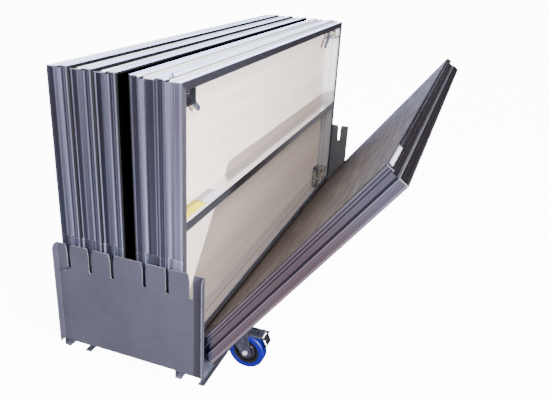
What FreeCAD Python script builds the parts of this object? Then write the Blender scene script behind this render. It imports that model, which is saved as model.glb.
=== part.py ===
import FreeCAD, Part
import os

# Stage deck dolly: a wheeled base with two slotted end plates that carries six stage decks on edge.
# Frame in millimetres: X across the decks, Y along the dolly, Z up, origin on the floor at its centre.

os.makedirs("parts", exist_ok=True)
doc = FreeCAD.newDocument("stage_deck_dolly")
sheet = doc.addObject("Spreadsheet::Sheet", "dims")

SIZES = [
    ("deck_length", 2000, "long side of a deck"),
    ("deck_height", 1000, "short side of a deck, upright in the dolly"),
    ("deck_thickness", 88.5, "top surface to underside"),
    ("deck_gap", 1, "gap between neighbouring upright decks"),
    ("middle_gap", 44.5, "gap between the two groups of decks"),
    ("stack_shift", 4, "the upright decks stand this far right of the centre"),
    ("deck_tilt", 36.6, "degrees that the last deck is tilted out"),
    ("tilt_clearance", 20.25, "tilted deck's standing edge, past its upright place"),
    ("panel_thickness", 12, "plywood panel of a deck"),
    ("frame_rim", 6, "rim of the frame around the panel"),
    ("frame_body", 28, "width of the hollow frame section"),
    ("frame_lip", 36, "reach of the lip on the underside"),
    ("leg_set_back", 7, "frame below the groove, in from the outer face"),
    ("lip_wall", 4, "thickness of that lip"),
    ("frame_wall", 3, "wall of the hollow frame section"),
    ("groove_start", 27.5, "top surface to the outer groove"),
    ("groove_width", 25, "outer groove at its mouth"),
    ("groove_taper", 2.5, "each groove side leans in by this much"),
    ("groove_depth", 12, "depth of the outer groove"),
    ("rib_pitch", 5, "spacing of the fine lines above the groove"),
    ("rib_width", 2.2, "width of a fine line"),
    ("rib_depth", 1.6, "depth of a fine line"),
    ("inner_groove_gap", 4, "panel to the shallow groove inside the frame"),
    ("inner_groove_width", 14, "that groove"),
    ("inner_groove_depth", 2, "that groove"),
    ("inner_line_start", 51, "top surface to the fine line inside the frame"),
    ("beam_width", 34, "mid beam, width seen from the underside"),
    ("beam_wall", 3, "wall of the mid beam"),
    ("leg_side", 50, "square leg that a corner pocket takes"),
    ("jaw_room", 24, "corner pocket, longer than the leg along the deck"),
    ("bracket_wall", 5, "wall of a corner leg bracket"),
    ("bracket_set_back", 2.5, "bracket below the frame lip"),
    ("boss_radius", 12, "threaded boss on a leg bracket"),
    ("boss_inside", 15, "that boss inside the bracket's wall"),
    ("boss_outside", 10, "that boss outside the bracket's wall"),
    ("screw_height", 67, "wing screw at the bracket's wall, from the deck's edge"),
    ("screw_lean", 38, "degrees that the wing screw leans from the deck's length"),
    ("screw_radius", 5, "wing screw shank"),
    ("screw_inside", 24, "wing screw shank inside the bracket's wall"),
    ("screw_collar", 9, "wing screw collar radius"),
    ("screw_reach", 30, "bracket's wall to the wing screw's blade"),
    ("wing_span", 20, "wing screw blade, across"),
    ("wing_height", 72, "wing screw blade, up to its rounded end"),
    ("wing_thickness", 8, "wing screw blade"),
    ("running_gap", 0.05, "radial gap of a turning fit"),
    ("float_gap", 0.5, "gap between faces that turn past each other"),
    ("plate_width", 594, "end plate, side to side"),
    ("plate_height", 414, "end plate, above the rails"),
    ("plate_wall", 3, "end plate sheet"),
    ("plate_gap", 10.3, "deck end to the end plate's inner face"),
    ("flange_depth", 24, "side flange, folded away from the decks"),
    ("flange_corner", 18, "rounded upper corner of a side flange"),
    ("bend_radius", 3, "inside radius of the folds"),
    ("foot_depth", 41, "foot flange that stands on the rails"),
    ("foot_inset", 12, "foot flange, in from the plate's sides"),
    ("slot_slack", 1, "slot spacing beyond that of the decks"),
    ("slot_middle_slack", 5.1, "the same for the two inner slots"),
    ("slot_width", 13, "straight part of a slot"),
    ("slot_depth", 97.5, "top edge to slot bottom"),
    ("mouth_width", 22, "slot mouth at the top edge"),
    ("mouth_depth", 30, "flared part of the slot"),
    ("pin_radius", 2.5, "lock pin of the first deck"),
    ("pin_reach", 28, "lock pin beyond the end plate"),
    ("pin_gap", 0.3, "lock pin from its slot's right side"),
    ("nut_margin", 1, "groove nut of the lock pin, clear of the groove's sides"),
    ("nut_thickness", 4, "groove nut of the lock pin"),
    ("nut_height", 20, "groove nut of the lock pin"),
    ("clip_width", 18, "groove clip along the groove"),
    ("clip_thickness", 3, "groove clip sheet"),
    ("clip_rise", 13, "groove clip above the frame"),
    ("clip_inset", 40, "groove clip from the deck's end"),
    ("rail_width", 116, "base rail, across"),
    ("rail_height", 33, "base rail, upright"),
    ("rail_wall", 3, "base rail sheet"),
    ("rail_lip", 25, "lip of a base rail"),
    ("bar_overhang", 7.4, "cross bar beyond the tilted deck's standing edge"),
    ("bar_side", 40, "cross bar, square section"),
    ("bar_wall", 3, "cross bar wall"),
    ("cap_depth", 12, "plug in a cross bar's end"),
    ("board_thickness", 13, "support board on the cross bars"),
    ("board_gap", 40, "support board to an end plate"),
    ("board_parting", 10, "between the two support boards"),
    ("plate_bolt_radius", 4, "bolt between end plate and rail"),
    ("plate_bolt_spread", 60, "spacing of the two bolts on a rail"),
    ("bolt_head_height", 6, "all hexagon heads"),
    ("bolt_nut_height", 7, "all nuts"),
    ("bolt_tail", 3, "thread beyond a nut"),
    ("hex_ratio", 1.85, "hexagon corner radius over shank radius"),
    ("hole_gap", 0.5, "radial gap of a bolt hole"),
    ("caster_inset", 404.3, "kingpins from the end plates along Y"),
    ("top_plate_inset", 3, "caster top plate, in from the rail's sides"),
    ("top_plate_y", 140, "caster top plate along the rail"),
    ("top_plate_wall", 6, "caster top plate"),
    ("caster_bolt_edge", 18, "caster bolts from the rail's sides"),
    ("caster_bolt_y", 105, "bolt spacing along the rail"),
    ("caster_bolt_radius", 5, "caster bolt"),
    ("race_radius", 38, "swivel race under the top plate"),
    ("race_height", 10, "swivel race under the top plate"),
    ("kingpin_radius", 8, "kingpin"),
    ("kingpin_head", 14, "kingpin head radius"),
    ("kingpin_head_height", 8, "kingpin head"),
    ("crown_radius", 44, "fork crown"),
    ("crown_height", 13, "fork crown"),
    ("wheel_trail", 66, "axle behind the kingpin"),
    ("wheel_radius", 80, "over the tyre"),
    ("wheel_width", 46, "tyre"),
    ("tyre_shoulder", 9, "rounded shoulder of the tyre"),
    ("tyre_thickness", 23, "tyre over the wheel core"),
    ("wheel_clearance", 5.5, "tyre to the fork crown's level"),
    ("rim_inset", 3, "wheel core rim, in from the tyre's sides"),
    ("rim_wall", 9, "wheel core rim"),
    ("web_width", 18, "wheel core web"),
    ("hub_radius", 17, "wheel hub"),
    ("hub_margin", 3.5, "wheel hub beyond the tyre's sides"),
    ("axle_radius", 6, "axle bolt"),
    ("fork_wall", 4, "fork leg sheet"),
    ("leg_front", 74, "fork leg, ahead of the kingpin at the crown"),
    ("leg_back", 36, "fork leg, behind the kingpin at the crown"),
    ("leg_end_radius", 24, "rounded end of a fork leg"),
    ("brake_set_back", 8, "brake housing short of the tyre's far side"),
    ("brake_height", 9, "brake housing"),
    ("brake_skirt", 4, "side wall of the brake housing, thickness"),
    ("brake_hole_radius", 8, "hole in the brake housing"),
    ("brake_hole_inset", 30, "that hole from the housing's end"),
    ("ear_margin", 1.5, "ears beyond the pedal's barrel"),
    ("ear_wall", 4, "ears that hold the pedal"),
    ("stud_radius", 4, "stud on the brake housing"),
    ("stud_height", 12, "stud on the brake housing"),
    ("stud_inset", 9, "stud from the housing's end and side"),
    ("pedal_barrel", 4, "pedal hinge barrel radius"),
    ("pedal_pin", 2, "pedal hinge pin radius"),
    ("pedal_gap", 2.5, "pedal barrel from the housing's end"),
    ("pedal_side_gap", 5, "pedal between its ears"),
    ("pedal_wall", 5, "pedal blade"),
    ("pedal_upper", 36, "upper blade of the pedal"),
    ("pedal_lower", 28, "lower blade of the pedal"),
    ("pedal_lean", 24, "degrees the upper blade leans out"),
    ("pedal_hook", 22, "degrees the lower blade hooks in"),
]
for row, (alias, value, meaning) in enumerate(SIZES, start=1):
    sheet.set(f"A{row}", alias)
    sheet.set(f"B{row}", str(value))
    sheet.setAlias(f"B{row}", alias)
    sheet.set(f"C{row}", meaning)
doc.recompute()


class Size:
    """A number together with the sheet expression that it comes from."""

    def __init__(self, value, text):
        self.value = value
        self.text = text

    def __add__(self, other):
        other = as_size(other)
        return Size(self.value + other.value, f"({self.text} + {other.text})")

    def __sub__(self, other):
        other = as_size(other)
        return Size(self.value - other.value, f"({self.text} - {other.text})")

    def __mul__(self, other):
        other = as_size(other)
        return Size(self.value * other.value, f"({self.text} * {other.text})")

    def __truediv__(self, other):
        other = as_size(other)
        return Size(self.value / other.value, f"({self.text} / {other.text})")

    def __neg__(self):
        return Size(-self.value, f"(0 - {self.text})")

    def __radd__(self, other):
        return as_size(other) + self

    def __rsub__(self, other):
        return as_size(other) - self

    def __rmul__(self, other):
        return as_size(other) * self


def as_size(number):
    return number if isinstance(number, Size) else Size(number, f"{number}")


def dim(alias):
    return Size(float(sheet.get(alias)), f"dims.{alias}")


def bind(item, path, size):
    item.setExpression(path, as_size(size).text)


X_AXIS = FreeCAD.Vector(1, 0, 0)
Y_AXIS = FreeCAD.Vector(0, 1, 0)
Z_AXIS = FreeCAD.Vector(0, 0, 1)
OVERCUT = 2  # cutters run this far past the faces that they open


def place(item, at, axis=None, angle=0):
    """Binds an item's position, and its turn about one axis in degrees."""
    if axis is not None:
        item.Placement = FreeCAD.Placement(FreeCAD.Vector(), axis, as_size(angle).value)
        if isinstance(angle, Size):
            bind(item, "Placement.Rotation.Angle", angle)
    for letter, size in zip("xyz", at):
        bind(item, f"Placement.Base.{letter}", size)
    return item


def box(name, at, extent):
    item = doc.addObject("Part::Box", name)
    for path, size in zip(("Length", "Width", "Height"), extent):
        bind(item, path, size)
    return place(item, at)


def cylinder(name, at, radius, length, axis=None, angle=0):
    """A cylinder from its foot along Z, or turned about an axis."""
    item = doc.addObject("Part::Cylinder", name)
    bind(item, "Radius", radius)
    bind(item, "Height", length)
    return place(item, at, axis, angle)


def hexagon(name, at, corner_radius, length, axis=None, angle=0):
    item = doc.addObject("Part::Prism", name)
    item.Polygon = 6
    bind(item, "Circumradius", corner_radius)
    bind(item, "Height", length)
    return place(item, at, axis, angle)


def wedge(name, near, far, y_range, at=(0, 0, 0), axis=None, angle=0):
    """A block that tapers along Y; near and far give its X and Z ranges at the two ends."""
    item = doc.addObject("Part::Wedge", name)
    sizes = {"Xmin": near[0], "Xmax": near[1], "Zmin": near[2], "Zmax": near[3],
             "X2min": far[0], "X2max": far[1], "Z2min": far[2], "Z2max": far[3],
             "Ymin": y_range[0], "Ymax": y_range[1]}
    for path, size in sizes.items():
        setattr(item, path, as_size(size).value)
        bind(item, path, size)
    return place(item, at, axis, angle)


def fuse(name, items):
    item = doc.addObject("Part::MultiFuse", name)
    item.Shapes = items
    item.Refine = True
    return item


def cut(name, base, tools):
    item = doc.addObject("Part::Cut", name)
    item.Base = base
    item.Tool = tools[0] if len(tools) == 1 else fuse(f"{name}_tools", tools)
    item.Refine = True
    return item


def group(name, items, at=(0, 0, 0), axis=None, angle=0):
    """Separate solids gathered, or one piece repeated at another place."""
    item = doc.addObject("Part::Compound", name)
    item.Links = items
    return place(item, at, axis, angle)


def fillet(name, base, edge_radius):
    """Rounds the edges for which edge_radius gives a size."""
    doc.recompute()
    item = doc.addObject("Part::Fillet", name)
    item.Base = base
    rounds = []
    for number, edge in enumerate(base.Shape.Edges, start=1):
        radius = edge_radius(edge)
        if radius is not None:
            rounds.append((number, radius.value, radius.value))
    item.Edges = rounds
    return item


nodes = {}


def node(name, item):
    """Names a finished sub-part; its label is also its file's name."""
    item.Label = name
    nodes[name] = item
    return item


# Sizes, levels and stations shared by several sub-parts
hub_width = dim("wheel_width") + 2 * dim("hub_margin")
core_radius = dim("wheel_radius") - dim("tyre_thickness")
brake_width = hub_width + 2 * dim("float_gap") + dim("fork_wall")
brake_reach = dim("wheel_trail") + dim("wheel_radius") - dim("brake_set_back")
crown_bottom = 2 * dim("wheel_radius") + dim("wheel_clearance")
crown_top = crown_bottom + dim("crown_height")
race_bottom = crown_top + dim("float_gap")
top_plate_bottom = race_bottom + dim("race_height")
rail_bottom = top_plate_bottom + dim("top_plate_wall")
rail_top = rail_bottom + dim("rail_height")
bar_top = rail_top + dim("bar_side")
deck_bottom = bar_top + dim("board_thickness")
plate_inner = dim("deck_length") / 2 + dim("plate_gap")
plate_outer = plate_inner + dim("plate_wall")
plate_top = rail_top + dim("plate_height")
half_plate = dim("plate_width") / 2
rail_centre = half_plate - dim("rail_width") / 2
slot_bottom = plate_top - dim("slot_depth")
foot_bolt_line = plate_inner - (dim("foot_depth") - dim("plate_wall")) / 2
caster_station = plate_outer - dim("caster_inset")
deck_pitch = dim("deck_thickness") + dim("deck_gap")
ENDS = (-1, 1)


def deck_left(number):
    """X of a deck's left face when it stands upright."""
    if number > 3:
        return dim("stack_shift") + dim("middle_gap") / 2 + (number - 4) * deck_pitch
    return dim("stack_shift") - dim("middle_gap") / 2 - dim("deck_thickness") - (3 - number) * deck_pitch


tilt_foot = deck_left(5) + 2 * dim("deck_thickness") + dim("tilt_clearance")


def slot_places():
    groove_centre = dim("groove_start") + dim("groove_width") / 2
    inner = dim("middle_gap") / 2 + groove_centre + dim("slot_middle_slack") / 2
    steps = [inner + (deck_pitch + dim("slot_slack")) * count for count in range(3)]
    return [-step for step in reversed(steps)] + steps


def slot_cutter(name, x):
    """Straight slot with a round bottom and a flared mouth, right through the plate."""
    half = dim("slot_width") / 2
    half_mouth = dim("mouth_width") / 2
    depth = dim("plate_wall") + 2 * OVERCUT
    y = -plate_outer - OVERCUT
    centre = slot_bottom + half
    straight = box(f"{name}_straight", (x - half, y, centre),
                   (2 * half, depth, plate_top + OVERCUT - centre))
    bottom = cylinder(f"{name}_bottom", (x, y, centre), half, depth, X_AXIS, -90)
    mouth = wedge(f"{name}_mouth", (-half, half, 0, depth), (-half_mouth, half_mouth, 0, depth),
                  (0, dim("mouth_depth")), (x, y + depth, plate_top - dim("mouth_depth")), X_AXIS, 90)
    return fuse(name, [straight, bottom, mouth])


def plate_bolt_places():
    half = dim("plate_bolt_spread") / 2
    rails = (-rail_centre, rail_centre)
    return [rail + side * half for rail in rails for side in ENDS]


def make_end_plates():
    wall = dim("plate_wall")
    height = dim("plate_height")
    foot_half = half_plate - dim("foot_inset")
    web = box("plate_web", (-half_plate, -plate_outer, rail_top), (2 * half_plate, wall, height))
    flange_y = -plate_outer - dim("flange_depth")
    reach = dim("flange_depth") + wall
    left = box("plate_left_flange", (-half_plate, flange_y, rail_top), (wall, reach, height))
    right = box("plate_right_flange", (half_plate - wall, flange_y, rail_top), (wall, reach, height))
    foot = box("plate_foot", (-foot_half, -plate_outer, rail_top),
               (2 * foot_half, dim("foot_depth"), wall))
    folded = fuse("plate_folded", [web, left, right, foot])

    def same(measured, size):
        return abs(measured - size.value) < 0.01

    def radius_of(edge):
        middle = edge.BoundBox.Center
        side = abs(middle.x)
        upright = edge.BoundBox.ZLength > height.value - 2 * wall.value
        if upright and same(side, half_plate) and same(middle.y, -plate_inner):
            return dim("bend_radius") + wall
        if upright and same(side, half_plate - wall) and same(middle.y, -plate_outer):
            return dim("bend_radius")
        if same(middle.y, flange_y) and same(middle.z, plate_top):
            return dim("flange_corner")
        return None

    rounded = fillet("plate_rounded", folded, radius_of)
    slots = [slot_cutter(f"slot_{count}", x) for count, x in enumerate(slot_places(), start=1)]
    hole = dim("plate_bolt_radius") + dim("hole_gap")
    holes = [cylinder(f"foot_hole_{count}", (x, -foot_bolt_line, rail_top - OVERCUT), hole,
                      wall + 2 * OVERCUT)
             for count, x in enumerate(plate_bolt_places(), start=1)]
    front = node("end_plate_front", cut("end_plate", rounded, slots + holes))
    node("end_plate_rear", group("end_plate_turned", [front], axis=Z_AXIS, angle=180))


def caster_bolt_offsets():
    half_x = dim("rail_width") / 2 - dim("caster_bolt_edge")
    half_y = dim("caster_bolt_y") / 2
    return [(side * half_x, end * half_y) for side in ENDS for end in ENDS]


def make_rail(name, x):
    """Lipped channel, open downwards, as long as the end plates stand apart."""
    wall = dim("rail_wall")
    width = dim("rail_width")
    length = 2 * plate_outer
    left = x - width / 2
    outer = box(f"{name}_outer", (left, -plate_outer, rail_bottom), (width, length, dim("rail_height")))
    room = box(f"{name}_room", (left + wall, -plate_outer - OVERCUT, rail_bottom + wall),
               (width - 2 * wall, length + 2 * OVERCUT, dim("rail_height") - 2 * wall))
    mouth = box(f"{name}_mouth", (left + dim("rail_lip"), -plate_outer - OVERCUT, rail_bottom - OVERCUT),
                (width - 2 * dim("rail_lip"), length + 2 * OVERCUT, wall + 2 * OVERCUT))
    tools = [room, mouth]
    half_spread = dim("plate_bolt_spread") / 2
    bolt_hole = dim("plate_bolt_radius") + dim("hole_gap")
    lip_hole = dim("caster_bolt_radius") + dim("hole_gap")
    through = wall + 2 * OVERCUT
    for end in ENDS:
        for side in ENDS:
            at = (x + side * half_spread, end * foot_bolt_line, rail_top - wall - OVERCUT)
            tools.append(cylinder(f"{name}_foot_hole", at, bolt_hole, through))
        for dx, dy in caster_bolt_offsets():
            at = (x + dx, end * caster_station + dy, rail_bottom - OVERCUT)
            tools.append(cylinder(f"{name}_lip_hole", at, lip_hole, through))
    return node(name, cut(f"{name}_channel", outer, tools))


def make_cross_bars():
    wall = dim("bar_wall")
    side = dim("bar_side")
    half = tilt_foot + dim("bar_overhang")
    bars = []
    caps = []
    inside = side - 2 * wall
    for count, y in enumerate((-caster_station, as_size(0), caster_station), start=1):
        outer = box(f"bar_{count}_outer", (-half, y - side / 2, rail_top), (2 * half, side, side))
        corner = (y - inside / 2, rail_top + wall)
        bore = box(f"bar_{count}_bore", (-half - OVERCUT, *corner), (2 * half + 2 * OVERCUT, inside, inside))
        bars.append(cut(f"bar_{count}", outer, [bore]))
        for x in (-half, half - dim("cap_depth")):
            caps.append(box(f"cap_{len(caps) + 1}", (x, *corner), (dim("cap_depth"), inside, inside)))
    node("cross_bars", group("bars", bars))
    node("bar_caps", group("caps", caps))
    parting = dim("board_parting")
    length = 2 * (plate_inner - dim("board_gap"))
    extent = (half - parting / 2, length, dim("board_thickness"))
    boards = [box("board_left", (-half, -length / 2, bar_top), extent),
              box("board_right", (parting / 2, -length / 2, bar_top), extent)]
    node("support_boards", group("boards", boards))


def through_bolt(name, x, y, head_face, nut_face, radius):
    """Hexagon bolt whose head and nut clamp what lies between two levels, head above or below."""
    corner = radius * dim("hex_ratio")
    head_height = dim("bolt_head_height")
    nut_height = dim("bolt_nut_height")
    tail = dim("bolt_tail")
    if head_face.value > nut_face.value:
        head = hexagon(f"{name}_head", (x, y, head_face), corner, head_height)
        nut = hexagon(f"{name}_nut", (x, y, nut_face - nut_height), corner, nut_height)
        shank = cylinder(f"{name}_shank", (x, y, nut_face - nut_height - tail), radius,
                         head_face - nut_face + nut_height + tail)
    else:
        head = hexagon(f"{name}_head", (x, y, head_face - head_height), corner, head_height)
        nut = hexagon(f"{name}_nut", (x, y, nut_face), corner, nut_height)
        shank = cylinder(f"{name}_shank", (x, y, head_face), radius,
                         nut_face - head_face + nut_height + tail)
    return fuse(name, [head, nut, shank])


def make_bolts():
    plate_bolts = []
    caster_bolts = []
    head_face = rail_top + dim("plate_wall")
    nut_face = rail_top - dim("rail_wall")
    for end in ENDS:
        for x in plate_bolt_places():
            name = f"plate_bolt_{len(plate_bolts) + 1}"
            plate_bolts.append(through_bolt(name, x, end * foot_bolt_line, head_face, nut_face,
                                            dim("plate_bolt_radius")))
    head_face = top_plate_bottom
    nut_face = rail_bottom + dim("rail_wall")
    for x, y in caster_places().values():
        for dx, dy in caster_bolt_offsets():
            name = f"caster_bolt_{len(caster_bolts) + 1}"
            caster_bolts.append(through_bolt(name, x + dx, y + dy, head_face, nut_face,
                                             dim("caster_bolt_radius")))
    node("plate_bolts", group("plate_bolt_set", plate_bolts))
    node("caster_bolts", group("caster_bolt_set", caster_bolts))


def caster_places():
    sides = {"left": -rail_centre, "right": rail_centre}
    ends = {"front": -caster_station, "rear": caster_station}
    return {f"{end}_{side}": (x, y) for end, y in ends.items() for side, x in sides.items()}


def make_caster_plate():
    """Top plate with its swivel race and the kingpin that the fork hangs on, kingpin on the Z axis."""
    head_top = crown_bottom - dim("float_gap")
    half_x = dim("rail_width") / 2 - dim("top_plate_inset")
    half_y = dim("top_plate_y") / 2
    plate = box("top_plate_sheet", (-half_x, -half_y, top_plate_bottom),
                (2 * half_x, 2 * half_y, dim("top_plate_wall")))
    race = cylinder("swivel_race", (0, 0, race_bottom), dim("race_radius"), dim("race_height"))
    pin = cylinder("kingpin", (0, 0, head_top), dim("kingpin_radius"), race_bottom - head_top)
    head = hexagon("kingpin_nut", (0, 0, head_top - dim("kingpin_head_height")), dim("kingpin_head"),
                   dim("kingpin_head_height"))
    hole = dim("caster_bolt_radius") + dim("hole_gap")
    holes = [cylinder(f"top_plate_hole_{count}", (dx, dy, top_plate_bottom - OVERCUT), hole,
                      dim("top_plate_wall") + 2 * OVERCUT)
             for count, (dx, dy) in enumerate(caster_bolt_offsets(), start=1)]
    return cut("caster_plate", fuse("top_plate_solid", [plate, race, pin, head]), holes)


def make_fork():
    """Pressed fork: round crown, two tapered legs and the brake housing over the wheel."""
    axle_level = dim("wheel_radius")
    trail = dim("wheel_trail")
    wall = dim("fork_wall")
    inside = hub_width / 2 + dim("float_gap")
    end = dim("leg_end_radius")
    crown = cylinder("fork_crown", (0, 0, crown_bottom), dim("crown_radius"), dim("crown_height"))
    leg_height = crown_top - axle_level
    top = (-dim("leg_back"), dim("leg_front"), 0, wall)
    low = (trail - end, trail + end, 0, wall)
    legs = []
    for side, y in (("near", -inside - wall), ("far", inside)):
        legs.append(wedge(f"fork_leg_{side}", top, low, (0, leg_height), (0, y, crown_top), X_AXIS, -90))
        legs.append(cylinder(f"fork_end_{side}", (trail, y, axle_level), end, wall, X_AXIS, -90))
    half = brake_width / 2
    reach = brake_reach
    skirt = dim("brake_skirt")
    deck_level = crown_bottom + dim("brake_height") - wall
    cover = box("brake_cover", (0, -half, deck_level), (reach, 2 * half, wall))
    skirts = [box(f"brake_skirt_{side}", (0, y, crown_bottom), (reach, skirt, dim("brake_height")))
              for side, y in (("near", -half), ("far", half - skirt))]
    ear_reach = dim("pedal_gap") + 2 * dim("pedal_barrel") + dim("ear_margin")
    ears = [box(f"brake_ear_{side}", (reach - OVERCUT, y, crown_bottom),
                (ear_reach + OVERCUT, dim("ear_wall"), dim("brake_height")))
            for side, y in (("near", -half), ("far", half - dim("ear_wall")))]
    inset = dim("stud_inset")
    stud = cylinder("brake_stud", (reach - inset, half - inset, deck_level), dim("stud_radius"),
                    dim("stud_height"))
    pressed = fuse("fork_pressed", [crown, cover, stud] + legs + skirts + ears)
    kingpin_hole = cylinder("kingpin_hole", (0, 0, crown_bottom - OVERCUT),
                            dim("kingpin_radius") + dim("running_gap"), dim("crown_height") + 2 * OVERCUT)
    axle_hole = cylinder("axle_hole", (trail, -inside - wall - OVERCUT, axle_level),
                         dim("axle_radius") + dim("running_gap"), 2 * (inside + wall + OVERCUT), X_AXIS, -90)
    eye = cylinder("brake_eye", (reach - dim("brake_hole_inset"), 0, deck_level - OVERCUT),
                   dim("brake_hole_radius"), wall + 2 * OVERCUT)
    pin_hole = cylinder("pedal_pin_hole", (pedal_hinge()[0], -half - OVERCUT, pedal_hinge()[1]),
                        dim("pedal_pin") + dim("running_gap"), 2 * (half + OVERCUT), X_AXIS, -90)
    return cut("fork", pressed, [kingpin_hole, axle_hole, eye, pin_hole])


def pedal_hinge():
    """X and Z of the pedal's pin, from the kingpin and the floor."""
    x = brake_reach + dim("pedal_gap") + dim("pedal_barrel")
    return x, crown_bottom + dim("brake_height") / 2


def make_axle():
    level = dim("wheel_radius")
    radius = dim("axle_radius")
    corner = radius * dim("hex_ratio")
    face = hub_width / 2 + dim("float_gap") + dim("fork_wall")
    trail = dim("wheel_trail")
    head_height = dim("bolt_head_height")
    nut_height = dim("bolt_nut_height")
    shank = cylinder("axle_shank", (trail, -face, level), radius,
                     2 * face + nut_height + dim("bolt_tail"), X_AXIS, -90)
    head = hexagon("axle_head", (trail, -face - head_height, level), corner, head_height, X_AXIS, -90)
    nut = hexagon("axle_nut", (trail, face, level), corner, nut_height, X_AXIS, -90)
    return fuse("axle", [shank, head, nut])


def disc(name, radius, width):
    """A cylinder on the wheel's axle, centred on the fork."""
    at = (dim("wheel_trail"), -width / 2, dim("wheel_radius"))
    return cylinder(name, at, radius, width, X_AXIS, -90)


def make_core():
    rim_width = dim("wheel_width") - 2 * dim("rim_inset")
    rim = cut("core_rim", disc("rim_outer", core_radius, rim_width),
              [disc("rim_room", core_radius - dim("rim_wall"), rim_width + 2 * OVERCUT)])
    web = disc("core_web", core_radius - dim("rim_wall") / 2, dim("web_width"))
    hub = disc("core_hub", dim("hub_radius"), hub_width)
    bore = disc("core_bore", dim("axle_radius") + dim("running_gap"), hub_width + 2 * OVERCUT)
    return cut("wheel_core", fuse("core_solid", [rim, web, hub]), [bore])


def make_tyre():
    bore = core_radius + dim("running_gap")
    ring = cut("tyre_ring", disc("tyre_outer", dim("wheel_radius"), dim("wheel_width")),
               [disc("tyre_room", bore, dim("wheel_width") + 2 * OVERCUT)])

    def radius_of(edge):
        is_circle = isinstance(edge.Curve, Part.Circle)
        on_tread = is_circle and edge.Curve.Radius > bore.value + dim("tyre_shoulder").value
        return dim("tyre_shoulder") if on_tread else None

    return fillet("tyre", ring, radius_of)


def make_pedal():
    """Bent brake pedal on a hinge barrel, hanging outside the tyre."""
    half_housing = brake_width / 2
    width = brake_width - 2 * (dim("ear_wall") + dim("pedal_side_gap"))
    wall = dim("pedal_wall")
    hinge_x, hinge_z = pedal_hinge()
    barrel = cylinder("pedal_barrel_tube", (0, -width / 2, 0), dim("pedal_barrel"), width, X_AXIS, -90)
    pin = cylinder("pedal_pin_rod", (0, -half_housing, 0), dim("pedal_pin"), 2 * half_housing, X_AXIS, -90)
    upper = box("pedal_upper_blade", (-wall / 2, -width / 2, -dim("pedal_upper")),
                (wall, width, dim("pedal_upper")))
    straight = box("pedal_lower_blade", (-wall / 2, -width / 2, -dim("pedal_lower")),
                   (wall, width, dim("pedal_lower")))
    lower = group("pedal_lower_turned", [straight], (0, 0, -dim("pedal_upper") + wall / 2), Y_AXIS,
                  dim("pedal_lean") + dim("pedal_hook"))
    blade = group("pedal_blade", [fuse("pedal_bent", [upper, lower])], axis=Y_AXIS, angle=-dim("pedal_lean"))
    return group("brake_pedal", [fuse("pedal_solid", [barrel, pin, blade])], (hinge_x, 0, hinge_z))


def make_casters():
    pieces = {"fork": make_fork(), "axle": make_axle(), "wheel_core": make_core(), "tyre": make_tyre(),
              "brake_pedal": make_pedal()}
    plate = make_caster_plate()
    plates = []
    for place_name, (x, y) in caster_places().items():
        plates.append(group(f"top_plate_{place_name}", [plate], (x, y, 0)))
        for piece, item in pieces.items():
            name = f"caster_{place_name}_{piece}"
            node(name, group(f"{name}_placed", [item], (x, y, 0)))
    node("caster_plates", group("caster_plate_set", plates))


# A deck is modelled once, upright, with its top surface at X 0, its underside at X deck_thickness,
# its length along Y about 0 and its lower edge at Z 0.

def frame_rail(name, length):
    """Hollow extrusion along Z: X from the top surface down, Y inwards from the outer face, ends mitred."""
    thick = dim("deck_thickness")
    set_back = dim("leg_set_back")
    lip = dim("frame_lip")
    wall = dim("frame_wall")
    body = dim("frame_body")
    panel = dim("panel_thickness")
    start = dim("groove_start")
    width = dim("groove_width")
    taper = dim("groove_taper")
    half = length / 2
    low = -half - OVERCUT
    full = length + 2 * OVERCUT
    lip_level = thick - dim("lip_wall")
    outer = box(f"{name}_outer", (0, 0, -half), (thick, lip, length))
    rebate = box(f"{name}_rebate", (-OVERCUT, dim("frame_rim"), low), (panel + OVERCUT, lip, full))
    inner = box(f"{name}_inner", (panel - OVERCUT, body, low), (lip_level - panel + OVERCUT, lip, full))
    groove = wedge(f"{name}_groove", (start, start + width, low, half + OVERCUT),
                   (start + taper, start + width - taper, low, half + OVERCUT), (0, dim("groove_depth")))
    depth = body - 2 * wall
    upper = box(f"{name}_upper_room", (panel + wall, wall, low), (start - panel - 2 * wall, depth, full))
    behind = box(f"{name}_groove_room", (start, dim("groove_depth") + wall, low),
                 (width, body - dim("groove_depth") - 2 * wall, full))
    step = box(f"{name}_step", (start + width, -OVERCUT, low),
               (thick - start - width + OVERCUT, set_back + OVERCUT, full))
    floor = start + width + wall
    lower = box(f"{name}_lower_room", (floor, set_back + wall, low),
                (thick - wall - floor, depth - set_back, full))
    inner_groove = box(f"{name}_inner_groove",
                       (panel + dim("inner_groove_gap"), body - dim("inner_groove_depth"), low),
                       (dim("inner_groove_width"), lip, full))
    inner_line = box(f"{name}_inner_line", (dim("inner_line_start"), body - dim("rib_depth"), low),
                     (dim("rib_width"), lip, full))
    ribs = [box(f"{name}_rib_{count}", (dim("rib_pitch") * count, -OVERCUT, low),
                (dim("rib_width"), dim("rib_depth") + OVERCUT, full)) for count in (1, 2, 3, 4)]
    mitres = []
    for end in ENDS:
        edge = half * end
        tip = (edge + end * OVERCUT, edge + 2 * end * OVERCUT)
        root = (edge - end * (lip + OVERCUT), edge + 2 * end * OVERCUT)
        tip = tip if end > 0 else tip[::-1]
        root = root if end > 0 else root[::-1]
        across = (-OVERCUT, thick + OVERCUT)
        mitres.append(wedge(f"{name}_mitre", (*across, *tip), (*across, *root), (-OVERCUT, lip + OVERCUT)))
    hollows = [rebate, inner, groove, step, upper, behind, lower, inner_groove, inner_line]
    return cut(name, outer, hollows + ribs + mitres)


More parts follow.
